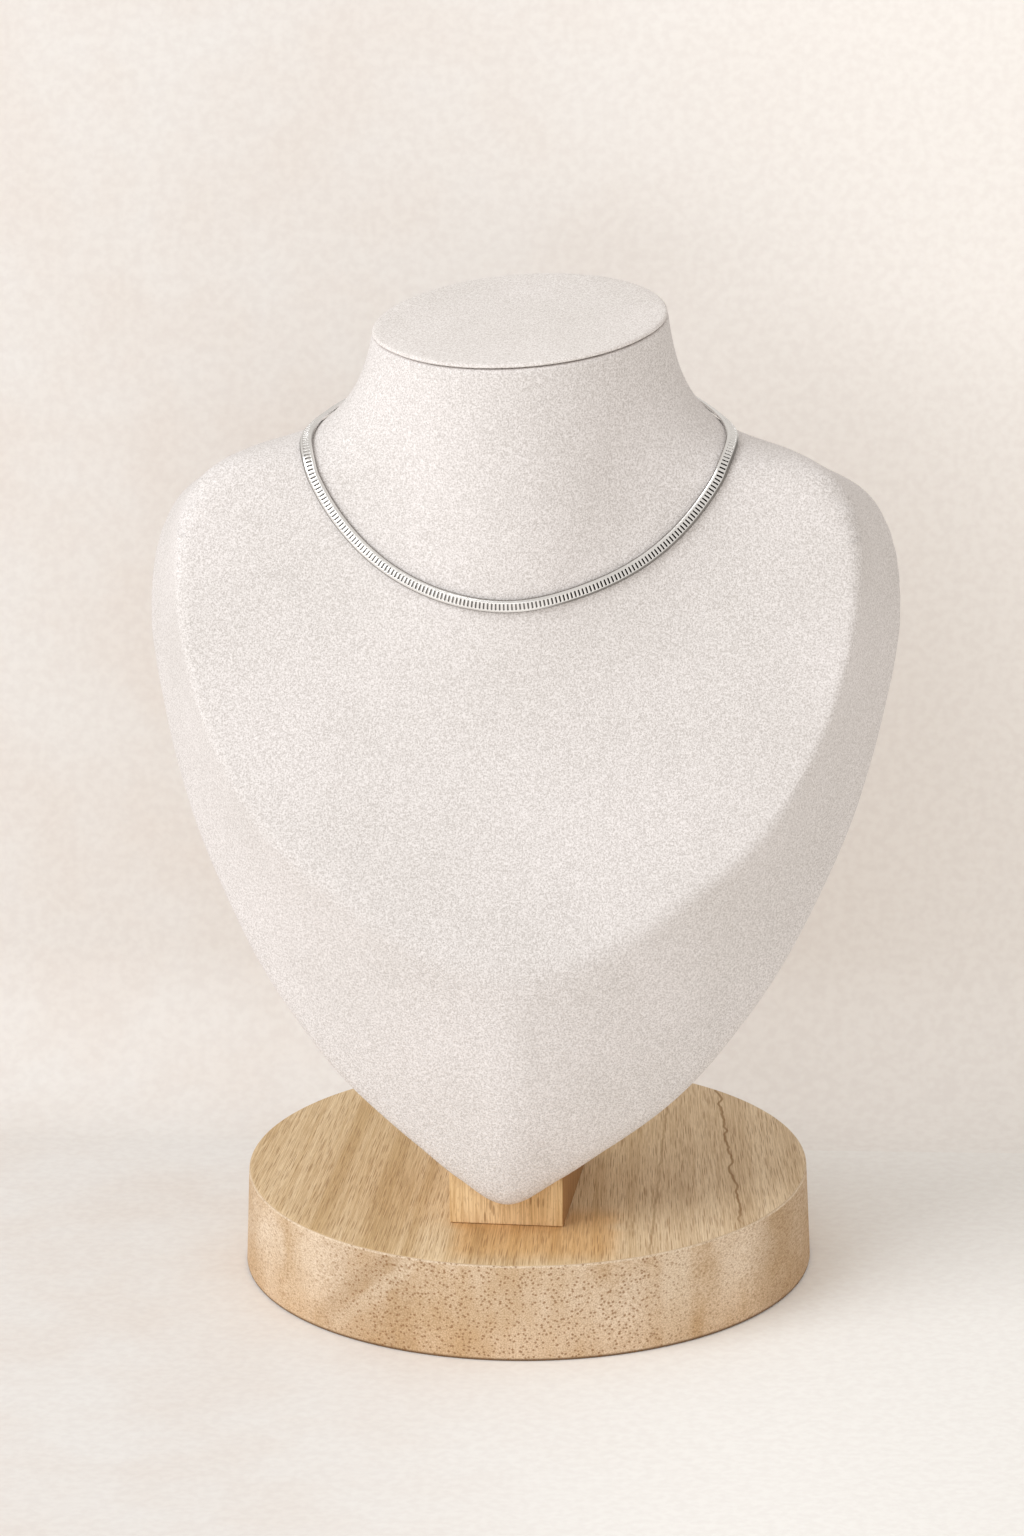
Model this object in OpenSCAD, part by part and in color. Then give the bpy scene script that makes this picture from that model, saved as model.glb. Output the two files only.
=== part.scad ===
// Flat close-linked silver chain, worn on a velvet-covered neck bust with a wooden post and round base.
// Z = 0 is the underside of the base, the bust faces -Y, and +X is to the right seen from the front.
// Heights inside the bust and along the chain are measured up from the bust's tip.

/* [Base] */
// Diameter of the round base at its foot
base_d = 183; // [168:1:220]
// How much narrower the base is across its top
base_taper = 2.5; // [0:0.5:6]
// Height of the base
base_h = 32; // [16:1:45]
// Chamfer round both edges of the base
base_edge = 0.8; // [0.2:0.1:3]

/* [Post] */
// Width of the post
post_w = 36.5; // [20:0.5:50]
// How far the post's front face stands before the middle of the base
post_front = 56; // [50:1:58]
// How far the post's back face stands behind the middle of the base
post_back = 8; // [0:1:30]
// How far the post's front stands left of the middle of the base
post_left = 3.5; // [0:0.5:8]
// Angle by which the post is turned to the left, seen from the front
post_turn = 4; // [0:0.5:8]
// Height of the post above the base
post_h = 93; // [60:1:110]

/* [Bust] */
// Height of the bust's tip above the base
tip_rise = 10; // [6:1:20]
// Angle at which the chest leans back from upright
chest_lean = 22; // [20:0.5:24]
// Angle at which the flat back leans back from upright
back_lean = 24; // [23:0.5:25]
// Height of the neck's top above the tip
neck_rise = 270; // [266:1:276]
// Width of the neck at its top
neck_w = 92; // [86:1:96]
// Depth of the neck at its top
neck_d = 88; // [82:1:92]
// Forward tilt of the neck's top
top_tilt = 3.8; // [0:0.1:6]
// Sideways tilt of the neck's top, higher to the right
top_roll = 3.5; // [0:0.1:5]
// How far the tip stands to the left of the neck's middle
sway = 2.8; // [0:0.1:4]

/* [Neck cap] */
// Thickness of the covered disc on the neck
cap_t = 1.8; // [1.2:0.1:4]
// Seam between the disc and the neck
seam = 0.25; // [0.1:0.05:0.5]

/* [Chain] */
// Width of the chain
band_w = 4.2; // [3:0.1:5]
// Thickness of the chain at its middle
band_t = 1.4; // [1:0.1:2]
// Air between the chain and the bust
band_gap = 0.35; // [0.3:0.05:0.5]
// How far the chain is drawn up towards the neck on its right side
pull = 2.8; // [0:0.1:3.5]
// How far the chain sags a little left of the middle
sag = 0.75; // [0:0.05:1.5]

/* [Clasp] */
// Length of the box clasp at the nape
clasp_l = 14; // [10:1:20]
// Height of the clasp across the chain
clasp_w = 4.8; // [4.4:0.1:6]
// Thickness of the clasp
clasp_t = 2.6; // [2:0.1:3.5]
// Gap between the clasp and each end of the chain
clasp_gap = 0.1; // [0.05:0.05:0.3]

/* [Hidden] */
$fn = 96;

wood = [0.84, 0.66, 0.46];
velvet = [0.88, 0.86, 0.84];
silver = [0.80, 0.80, 0.82];

// Height of the bust's tip above the floor
tip_z = base_h + tip_rise;
// Gap between the post and what it stands on, and between the post and the bust
post_gap = 0.1;
rest_gap = 0.3;

// Two points of the bust's middle line: its tip, and the point where the bevel meets the flat chest
tip_pt = [0, -61, 0];
edge_pt = [0, -73, 83.7];
// Depth of the rounded ridge under the chest at the tip's height
ridge_y = -65;
// Directions out of the chest, up the chest, and out of the flat back
chest_out = [0, -cos(chest_lean), sin(chest_lean)];
chest_up = [0, sin(chest_lean), cos(chest_lean)];
back_out = [0, cos(back_lean), -sin(back_lean)];
// Depth of the bevel, square to the chest
bevel = (edge_pt - tip_pt) * chest_out;

// Outline of the chest, seen square to it, round a point that lies outline_c up from the tip.
// Angle from level in degrees, radius of the chest's edge, radius of the bust at the bevel's foot
outline_c = 188;
outline = [
    [-90, 117.5, 197],
    [-85, 117, 188.5],
    [-80, 116, 179],
    [-70, 112.5, 164],
    [-60, 109, 149.5],
    [-45, 108, 133],
    [-30, 106, 123.5],
    [-15, 105.5, 119],
    [0, 107, 119.5],
    [12, 109, 119],
    [20, 107, 114.5],
    [30, 98, 99.5],
    [45, 82, 82],
    [60, 75, 75],
    [90, 86, 86],
];
outline_last = len(outline) - 1;
// Slope of the outline's columns at each row, level at both ends
outline_slope = [
    for (i = [0:outline_last])
        i == 0 || i == outline_last ? [1, 0, 0]
        : (outline[i + 1] - outline[i - 1]) / (outline[i + 1][0] - outline[i - 1][0])
];

// Rounding of the chest's edge below the shoulders and over them, and the angles between the two
edge_round = 5;
shoulder_round = 34;
shoulder_from = 18;
shoulder_to = 40;
back_round = 8;
// Height above the tip at which the bust has come back from its sway
sway_to = 30;

// Neck column: its axis, how it widens downward, and how softly it runs into the rest
neck_y = 5;
neck_flare_x = 0.03;
neck_flare_y = 0.015;
root_front = 10;
root_side = 32;
root_back = 20;

// Rings of the bust's skin. Columns: height, height of the next row, rings between them
bust_rows = [
    [0.4, 6, 4],
    [6, 30, 5],
    [30, 190, 21],
    [190, 244, 26],
    [244, neck_rise, 5],
];
// Points on one half of a ring: across the chest, along the bevelled side and across the back
front_n = 12;
side_n = 10;
back_n = 10;
half_n = front_n + side_n + back_n;
// Least width of a ring's front, as a part of the width of its back
front_share = 0.3;
// Heights between which the rings change from the chest's plan to the neck's oval
oval_from = 158;
oval_to = 228;
// Height from which the rings start to tilt towards the neck's top
tilt_from = 226;
// Farthest that the skin is looked for from a ring's middle, and how often that range is halved
reach = 190;
halvings = 16;

// Rows of the cap. Columns: inset from the neck's outline, part of the cap's thickness
cap_rows = [
    [0.9, 0],
    [0.15, 0.3],
    [0.15, 0.55],
    [0.7, 0.85],
    [1.8, 1],
];

// The chain's section. Columns: across as a part of half the width, up as a part of the thickness
band_section = [
    [0, 1],
    [0.5, 0.96],
    [0.82, 0.8],
    [1, 0.4],
    [0.9, 0],
    [-0.9, 0],
    [-1, 0.4],
    [-0.82, 0.8],
    [-0.5, 0.96],
];
band_rings = 116;
// Control points of the chain's right half, from the front of the neck to the nape. Columns: x, y, z
half_route = [
    [0, -40.5, 190.5],
    [15, -39, 192],
    [29.5, -34.5, 195.5],
    [42, -30, 201],
    [53, -24.5, 209.5],
    [61, -19.5, 219.5],
    [66.5, -13.5, 229.5],
    [68, -2.5, 236.5],
    [64, 11.5, 240],
    [56, 24, 242.5],
    [45.5, 34.5, 245],
    [32, 43, 247],
    [16, 48, 248.5],
    [0, 50, 249],
];
nape_i = len(half_route) - 1;
// Where the chain is drawn up and where it sags. Columns: control point, reach to either side
pull_at = [3.55, 5.4];
sag_at = [-1.3, 3];
// The whole loop, from the front round the right side to the nape and back round the left
route = concat(half_route, [for (i = [nape_i - 1:-1:1]) [-half_route[i].x, half_route[i].y, half_route[i].z]]);
// Step of the control points along the chain at the nape
nape_step = half_route[nape_i - 1].x;
// The clasp's section, with the same columns as the chain's
clasp_section = [
    [0.8, 1],
    [1, 0.8],
    [1, 0.2],
    [0.8, 0],
    [-0.8, 0],
    [-1, 0.2],
    [-1, 0.8],
    [-0.8, 1],
];
clasp_rings = 8;

// Greater of two numbers, rounded where they are less than k apart, and the same for the lesser
function soft_max(a, b, k) = let (h = max(k - abs(a - b), 0) / k) max(a, b) + h * h * k / 4;
function soft_min(a, b, k) = -soft_max(-a, -b, k);
// Runs smoothly from 0 at a to 1 at b
function ramp(x, a, b) = let (t = max(0, min(1, (x - a) / (b - a)))) t * t * (3 - 2 * t);
function mean(points) = [for (p = points) 1] * points / len(points);

// Chest edge and bevel foot at an angle round the outline: a smooth curve through the table's rows
function outline_at(angle) =
    let (
        a = max(-90, min(90, angle)),
        i = [for (k = [0:outline_last - 1]) if (a >= outline[k][0] && a <= outline[k + 1][0]) k][0],
        h = outline[i + 1][0] - outline[i][0],
        s = (a - outline[i][0]) / h,
        rise = s * s * (3 - 2 * s)
    )
    (1 - rise) * outline[i] + rise * outline[i + 1]
    + s * (1 - s) * h * ((1 - s) * outline_slope[i] - s * outline_slope[i + 1]);

// Angle of a point round the outline
function outline_angle(p) = atan2((p - tip_pt) * chest_up - outline_c, abs(p.x));

// How far a point lies outside the bevelled sides of the chest and shoulders
function sides(p) =
    let (
        depth = (edge_pt - p) * chest_out,
        row = outline_at(outline_angle(p)),
        spread = row[2] - row[1],
        radius = row[1] + spread * max(0, min(1, depth / bevel))
    )
    (norm([p.x, (p - tip_pt) * chest_up - outline_c]) - radius) / sqrt(1 + pow(spread / bevel, 2));

// How far a point lies outside the block of the chest and shoulders, with its rounded front edge
function torso(p) =
    let (over = ramp(outline_angle(p), shoulder_from, shoulder_to))
    soft_max(sides(p), (p - edge_pt) * chest_out, edge_round + (shoulder_round - edge_round) * over);

// How far a point lies outside the oval neck column
function neck(p) =
    let (
        down = neck_rise - p.z,
        half_w = neck_w / 2 + neck_flare_x * down,
        half_d = neck_d / 2 + neck_flare_y * down
    )
    (norm([p.x / half_w, (p.y - neck_y) / half_d]) - 1) * min(half_w, half_d);

// Middle of the bust from side to side at a height above the tip
function middle_x(z) = -sway * (1 - ramp(z, 0, sway_to));

// How far a point lies outside the whole bust: chest and neck run into each other, the back is flat
function bust(p) =
    let (
        q = [p.x - middle_x(p.z), p.y, p.z],
        y = q.y - neck_y,
        sideways = pow(q.x, 2) / (pow(q.x, 2) + y * y + 0.001),
        root = (y < 0 ? root_front : root_back) * (1 - sideways) + root_side * sideways
    )
    soft_max(soft_min(torso(q), neck(q), root), (q - tip_pt) * back_out, back_round);

// The bust's surface on the line from o along dir, found by halving the range from lo to hi
function skin_point(o, dir, lo, hi, n) =
    let (mid = (lo + hi) / 2)
    n == 0 ? o + dir * mid
    : bust(o + dir * mid) < 0 ? skin_point(o, dir, mid, hi, n - 1)
    : skin_point(o, dir, lo, mid, n - 1);

// Half the width between the bevelled sides at depth y and height z
function half_width(y, z, lo = 0, hi = 140, n = 12) =
    let (mid = (lo + hi) / 2)
    n == 0 ? mid
    : sides([mid, y, z]) < 0 ? half_width(y, z, mid, hi, n - 1)
    : half_width(y, z, lo, mid, n - 1);

// Plan of the block's right half with corners at the chest's edge and the back's edge.
// Points crowd towards both corners, so that the rings' points line up along the edges
function plan_point(j, front, back) =
    j <= front_n ? [front.x * sin(90 * j / front_n), front.y]
    : j <= front_n + side_n ? front + (back - front) * (1 - cos(180 * (j - front_n) / side_n)) / 2
    : [back.x * sin(90 * (half_n - j) / back_n), back.y];

// One ring of the bust's skin, round the middle of the bust at height z, starting at the front
function bust_ring(z) =
    let (
        back_y = tip_pt.y + z * tan(back_lean),
        front_y = z < edge_pt.z ? ridge_y + (edge_pt.y - ridge_y) * z / edge_pt.z
                : edge_pt.y + (z - edge_pt.z) * tan(chest_lean),
        back_w = max(1, half_width(back_y, z)),
        chest_w = half_width(front_y, z),
        front_w = max(chest_w, front_share * back_w),
        prow = front_share * max(0, 1 - chest_w / (front_share * back_w)),
        front = [front_w, front_y + prow * (back_y - front_y)],
        back = [back_w, back_y],
        oval = ramp(z, oval_from, oval_to),
        mid_y = (back_y + front_y) / 2 * (1 - oval) + neck_y * oval,
        tilt = ramp(z, tilt_from, neck_rise)
    )
    [
        for (j = [0:2 * half_n - 1])
            let (
                k = min(j, 2 * half_n - j),
                angle = 180 * k / half_n,
                flat = plan_point(k, front, back) - [0, mid_y],
                round = [neck_w * sin(angle), -neck_d * cos(angle)] / 2,
                way = flat * (1 - oval) + round * oval,
                x = j > half_n ? -way.x : way.x,
                dir = [x, way.y, way.y * tan(top_tilt * tilt) + x * tan(top_roll * tilt)]
            )
            skin_point([middle_x(z), mid_y, z], dir / norm(dir), 0, reach, halvings)
    ];

// Direction in which the distance from the bust grows at a point
function away(p) =
    let (h = 0.2, v = [for (e = [[h, 0, 0], [0, h, 0], [0, 0, h]]) bust(p + e) - bust(p - e)])
    v / (2 * h);

// A point moved square to the bust until it lies off from its surface
function seated(p, off, n = 6) =
    n == 0 ? p
    : let (g = away(p)) seated(p - (bust(p) - off) / (g * g) * g, off, n - 1);

// Rises smoothly from 0 to 1 and back round a place on the route
function hump(s, at) = pow(cos(90 * max(-1, min(1, (s - at[0]) / at[1]))), 2);

// Point of the closed route, where s counts control points from the front up to the nape
function on_route(s) =
    let (
        n = len(route),
        round_s = s > n / 2 ? s - n : s,
        ahead = on_curve(s + 0.05) - on_curve(s - 0.05),
        up = [-ahead.z, 0, ahead.x] / norm([ahead.x, ahead.z])
    )
    on_curve(s) + (pull * hump(round_s, pull_at) - sag * hump(round_s, sag_at)) * up;

// Point of the smooth closed curve through the control points
function on_curve(s) =
    let (
        n = len(route),
        i = floor(s),
        t = s - i,
        a = route[(i + n - 1) % n],
        b = route[i % n],
        c = route[(i + 1) % n],
        d = route[(i + 2) % n]
    )
    (pow(1 - t, 3) * a + (3 * pow(t, 3) - 6 * t * t + 4) * b
    + (-3 * pow(t, 3) + 3 * t * t + 3 * t + 1) * c + pow(t, 3) * d) / 6;

// One ring of a band that lies on the bust: its section stands square to the route, flat side down
function band_ring(s, section, wide, thick) =
    let (
        mid = seated(on_route(s), band_gap),
        ahead = seated(on_route(s + 0.05), band_gap) - seated(on_route(s - 0.05), band_gap),
        along = ahead / norm(ahead),
        g = away(mid),
        out = g - (g * along) * along,
        normal = out / norm(out),
        across = cross(along, normal),
        close = min([for (w = [-0.45, -0.25, 0, 0.25, 0.45]) bust(mid + w * wide * across)]),
        lift = band_gap - close
    )
    [for (q = section) mid + across * q.x * wide / 2 + normal * (q.y * thick + lift)];

// Closed solid through rings of points that run anticlockwise seen from the last ring.
// The cuts across the sides are mirror images on the rings' two halves
module skin(rings) {
    n = len(rings[0]);
    last = len(rings) - 1;
    foot = n * (last + 1);
    sides = [
        for (i = [0:last - 1], j = [0:n - 1])
            let (a = i * n + j, b = i * n + (j + 1) % n)
            each j < n / 2 ? [[a, a + n, b + n], [a, b + n, b]] : [[a, a + n, b], [b, a + n, b + n]]
    ];
    ends = [
        for (j = [0:n - 1])
            let (k = (j + 1) % n)
            each [[foot, j, k], [foot + 1, last * n + k, last * n + j]]
    ];
    points = concat([for (r = rings) each r], [mean(rings[0]), mean(rings[last])]);
    polyhedron(points, concat(sides, ends));
}

module base() {
    r = base_d / 2;
    top_r = r - base_taper / 2;
    color(wood)
    rotate_extrude($fn = 180)
    polygon([
        [0, 0],
        [r - base_edge, 0],
        [r, base_edge],
        [top_r, base_h - base_edge],
        [top_r - base_edge, base_h],
        [0, base_h],
    ]);
}

// Block turned a little to the left, whose upper front is cut parallel to the bust's back
module post() {
    foot_z = base_h + post_gap;
    top_z = base_h + post_h;
    deep = post_front + post_back;
    // Where the back's plane, set off by the gap, stands at the height of the tip
    face_y = tip_pt.y + rest_gap / cos(back_lean);
    behind = [for (z = [base_h, top_z + 1]) [face_y + (z - tip_z) * tan(back_lean), z]];
    color(wood)
    intersection() {
        translate([-post_left, -post_front, foot_z])
        rotate(-post_turn)
        translate([-post_w / 2, 0, 0])
        cube([post_w, deep, top_z - foot_z]);
        translate([-deep, 0, 0])
        rotate([90, 0, 90])
        linear_extrude(height = 2 * deep)
        polygon([behind[0], [deep, behind[0].y], [deep, behind[1].y], behind[1]]);
    }
}

module bust_form() {
    heights = concat(
        [for (row = bust_rows, k = [0:row[2] - 1]) row[0] + (row[1] - row[0]) * k / row[2]],
        [neck_rise]
    );
    color(velvet)
    translate([0, 0, tip_z])
    skin([for (z = heights) bust_ring(z)]);
}

// Disc with a rounded edge, parallel to the neck's tilted top
module neck_cap() {
    rim = bust_ring(neck_rise);
    middle = mean(rim);
    square = cross(rim[0] - middle, rim[half_n / 2] - middle);
    up = square / norm(square);
    color(velvet)
    translate([0, 0, tip_z])
    skin([
        for (row = cap_rows)
            [
                for (p = rim)
                    let (d = p - middle)
                    middle + d * (1 - row[0] / norm(d)) + up * (seam + row[1] * cap_t)
            ]
    ]);
}

module chain_band() {
    cut = (clasp_l / 2 + clasp_gap) / nape_step;
    first = nape_i + cut;
    last = nape_i + len(route) - cut;
    step = (last - first) / band_rings;
    color(silver)
    translate([0, 0, tip_z])
    skin([for (k = [0:band_rings]) band_ring(first + step * k, band_section, band_w, band_t)]);
}

// Box clasp, bent to the curve of the nape
module clasp() {
    first = nape_i - clasp_l / 2 / nape_step;
    step = clasp_l / nape_step / clasp_rings;
    color(silver)
    translate([0, 0, tip_z])
    skin([for (k = [0:clasp_rings]) band_ring(first + step * k, clasp_section, clasp_w, clasp_t)]);
}

base();
post();
bust_form();
neck_cap();
chain_band();
clasp();
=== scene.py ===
"""Flat close-linked silver chain on a velvet-covered neck bust with a wooden post and round base.

The classes that shape the object hold millimetres. Finishes, studio and meshes are in metres.
"""

import logging
import math
from contextlib import contextmanager
from dataclasses import dataclass
from enum import Enum
from functools import reduce
from typing import Callable, Iterator, Sequence

import bpy
import numpy as np
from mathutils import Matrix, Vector


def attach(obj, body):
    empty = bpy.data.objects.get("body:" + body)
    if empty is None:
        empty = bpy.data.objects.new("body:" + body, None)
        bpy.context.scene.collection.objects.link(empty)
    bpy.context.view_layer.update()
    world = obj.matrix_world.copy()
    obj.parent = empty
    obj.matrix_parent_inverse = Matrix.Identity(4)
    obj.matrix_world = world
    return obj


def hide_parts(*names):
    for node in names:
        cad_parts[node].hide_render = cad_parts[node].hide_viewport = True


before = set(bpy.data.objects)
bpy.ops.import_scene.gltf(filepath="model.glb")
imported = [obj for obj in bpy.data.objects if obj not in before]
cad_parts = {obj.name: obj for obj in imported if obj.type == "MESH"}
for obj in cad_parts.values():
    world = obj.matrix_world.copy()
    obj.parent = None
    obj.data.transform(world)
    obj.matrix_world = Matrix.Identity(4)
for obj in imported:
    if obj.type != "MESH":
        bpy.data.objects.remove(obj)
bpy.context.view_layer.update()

MM = 0.001
TIP_Z_MM = 42.0
BODY = "root"
RAIL = "place_across"
LOG = logging.getLogger("neck_bust")

Piece = bpy.types.Object
Material = bpy.types.Material
Node = bpy.types.Node
Socket = bpy.types.NodeSocket
Colour = tuple[float, float, float]
Triple = tuple[float, float, float]
Range = tuple[float, float]
Test = Callable[[Vector], bool]


class Slot(Enum):
    """The material slots' names, which are only logged."""

    SILVER = "chain_silver"
    VELVET = "velvet"
    WOOD = "wood"


# Workbench: modelling operators with selections made by place


class Bench:
    """Chooses by place and runs the modelling operators on what is chosen."""

    @staticmethod
    def clear() -> None:
        """Leaves edit mode and deselects everything."""
        if bpy.context.mode != "OBJECT":
            bpy.ops.object.mode_set(mode="OBJECT")
        bpy.ops.object.select_all(action="DESELECT")

    @staticmethod
    def take(piece: Piece) -> None:
        """Makes a piece the only selected and active object.

        Args:
            piece: The piece to take.
        """
        Bench.clear()
        piece.select_set(True)
        bpy.context.view_layer.objects.active = piece

    @staticmethod
    def added(name: str, size: Sequence[float] = (1, 1, 1)) -> Piece:
        """Names and scales the primitive that was just added, and puts its place into its mesh.

        Args:
            name: The piece's name.
            size: Its scale on each axis.

        Returns:
            The piece, at the origin, unturned and unscaled.
        """
        piece = bpy.context.object
        piece.name = name
        piece.data.name = name
        piece.scale = size
        bpy.ops.object.transform_apply(location=True, rotation=True, scale=True)
        return piece

    @staticmethod
    def block(name: str, size: Sequence[float], middle: Sequence[float], turn: float = 0.0) -> Piece:
        """Adds a block.

        Args:
            name: The piece's name.
            size: Its three sides in millimetres.
            middle: Its middle in millimetres.
            turn: Its turn about the upright axis, in radians.

        Returns:
            The block.
        """
        Bench.clear()
        place = [c * MM for c in middle]
        bpy.ops.mesh.primitive_cube_add(size=1, location=place, rotation=(0, 0, turn))
        return Bench.added(name, [c * MM for c in size])

    @staticmethod
    def choose(mesh: bpy.types.Mesh, kind: str, test: Test) -> None:
        """Selects, in edit mode, the elements whose middle passes a test, and no others.

        Args:
            mesh: The mesh that is being edited.
            kind: VERT, EDGE or FACE.
            test: Takes an element's middle and says whether it is wanted.
        """
        bpy.ops.mesh.select_mode(type=kind)
        bpy.ops.mesh.select_all(action="DESELECT")
        bpy.ops.object.mode_set(mode="OBJECT")
        ends = mesh.vertices
        if kind == "VERT":
            items = [(v, v.co) for v in ends]
        elif kind == "EDGE":
            items = [(e, (ends[e.vertices[0]].co + ends[e.vertices[1]].co) / 2) for e in mesh.edges]
        else:
            items = [(f, f.center) for f in mesh.polygons]
        for item, middle in items:
            if test(middle):
                item.select = True
        bpy.ops.object.mode_set(mode="EDIT")

    @staticmethod
    @contextmanager
    def editing(piece: Piece, kind: str = "", test: Test | None = None) -> Iterator[None]:
        """Edit mode for the length of a with block, on all of a piece or on what a test chooses.

        Args:
            piece: The piece to edit.
            kind: VERT, EDGE or FACE, where there is a test.
            test: Takes an element's middle and says whether it is wanted.

        Yields:
            Nothing, once the elements are selected.
        """
        Bench.take(piece)
        bpy.ops.object.mode_set(mode="EDIT")
        if test is None:
            bpy.ops.mesh.select_all(action="SELECT")
        else:
            Bench.choose(piece.data, kind, test)
        yield
        bpy.ops.object.mode_set(mode="OBJECT")

    @staticmethod
    def cut(piece: Piece, place: Sequence[float], square: Triple, **settings: bool) -> None:
        """Cuts all of a piece along a plane.

        Args:
            piece: The piece to cut.
            place: A point of the plane, in millimetres.
            square: The direction square to it.
            **settings: The bisect operator's other settings.
        """
        with Bench.editing(piece):
            bpy.ops.mesh.bisect(plane_co=[c * MM for c in place], plane_no=square, **settings)

    @staticmethod
    def apply(piece: Piece, kind: str, **settings: object) -> None:
        """Adds a modifier with the given settings and applies it.

        Args:
            piece: The piece to finish.
            kind: The modifier's type.
            **settings: The modifier's settings by name.
        """
        Bench.take(piece)
        modifier = piece.modifiers.new(kind.title(), kind)
        for key, value in settings.items():
            setattr(modifier, key, value)
        bpy.ops.object.modifier_apply(modifier=modifier.name)

    @staticmethod
    def normals_out(piece: Piece) -> None:
        """Recalculates a closed mesh's normals to point outwards."""
        with Bench.editing(piece):
            bpy.ops.mesh.normals_make_consistent(inside=False)

    @staticmethod
    def smooth(piece: Piece, angle: float) -> None:
        """Shades a piece smooth where its faces meet at less than an angle in degrees."""
        Bench.take(piece)
        bpy.ops.object.shade_smooth_by_angle(angle=math.radians(angle))

    @staticmethod
    def points(piece: Piece) -> np.ndarray:
        """A piece's vertices.

        Args:
            piece: The piece.

        Returns:
            Their places in metres, one row each.
        """
        flat = np.empty(len(piece.data.vertices) * 3)
        piece.data.vertices.foreach_get("co", flat)
        return flat.reshape(-1, 3)

    @staticmethod
    def move(piece: Piece, places: np.ndarray) -> None:
        """Puts a piece's vertices at new places in metres."""
        piece.data.vertices.foreach_set("co", np.ascontiguousarray(places).ravel())
        piece.data.update()

    @staticmethod
    def copy_of(node: str, name: str) -> Piece:
        """Copies a CAD node's mesh into a new piece, with its loose triangles merged into quads.

        Args:
            node: The CAD node's name.
            name: The new piece's name.

        Returns:
            The new piece.
        """
        Bench.clear()
        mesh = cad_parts[node].data.copy()
        mesh.materials.clear()
        piece = bpy.data.objects.new(name, mesh)
        mesh.name = name
        bpy.context.scene.collection.objects.link(piece)
        with Bench.editing(piece):
            bpy.ops.mesh.remove_doubles(threshold=1e-6)
            bpy.ops.mesh.tris_convert_to_quads(face_threshold=math.pi, shape_threshold=math.pi)
        return piece


def finish_piece(piece: Piece, slot: Slot, material: Material, node: str = "") -> None:
    """Dresses a piece, lets it ride on the object, hides the CAD node that it replaces and logs its size.

    Args:
        piece: The finished piece.
        slot: The slot of its finish, which is only logged.
        material: The finish.
        node: The CAD node that it replaces, if any.
    """
    piece.data.materials.clear()
    piece.data.materials.append(material)
    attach(piece, BODY)
    if node:
        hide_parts(node)
    triangles = sum(len(face.vertices) - 2 for face in piece.data.polygons)
    LOG.info("%s: %d triangles, %s", piece.name, triangles, slot.value)


# Form of the bust


def soft_max(a: np.ndarray, b: np.ndarray, k: np.ndarray | float) -> np.ndarray:
    """Greater of two numbers, rounded where they are less than k apart."""
    near = np.maximum(k - np.abs(a - b), 0) / k
    return np.maximum(a, b) + near * near * k / 4


def ramp(x: np.ndarray, low: float, high: float) -> np.ndarray:
    """Runs smoothly from 0 at low to 1 at high."""
    t = np.clip((x - low) / (high - low), 0, 1)
    return t * t * (3 - 2 * t)


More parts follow.
